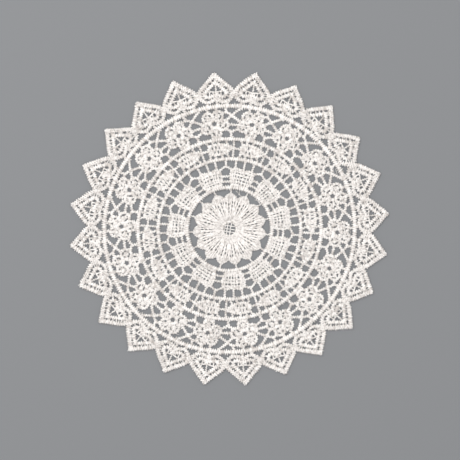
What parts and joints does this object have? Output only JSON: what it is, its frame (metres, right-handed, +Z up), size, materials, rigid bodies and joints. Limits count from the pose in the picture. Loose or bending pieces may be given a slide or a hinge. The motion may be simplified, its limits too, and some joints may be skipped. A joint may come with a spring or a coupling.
{
  "type": "lace doily",
  "caption": "Round guipure lace doily with a star middle, rings of woven blocks, ovals and flowers, and a pointed rim of hearts, to lie flat under a vase, lamp or dish.",
  "frame": {"origin": "centre of the doily's box, on the surface it lies on", "axes": "+Z up out of the lace, +Y towards the top of the picture, which looks straight down on it"},
  "size_m": [0.201, 0.1972, 0.0017],
  "materials": {
    "lace_thread": "matte"
  },
  "bodies": {
    "root": {"doily": "lace_thread"}
  },
  "joints": []
}
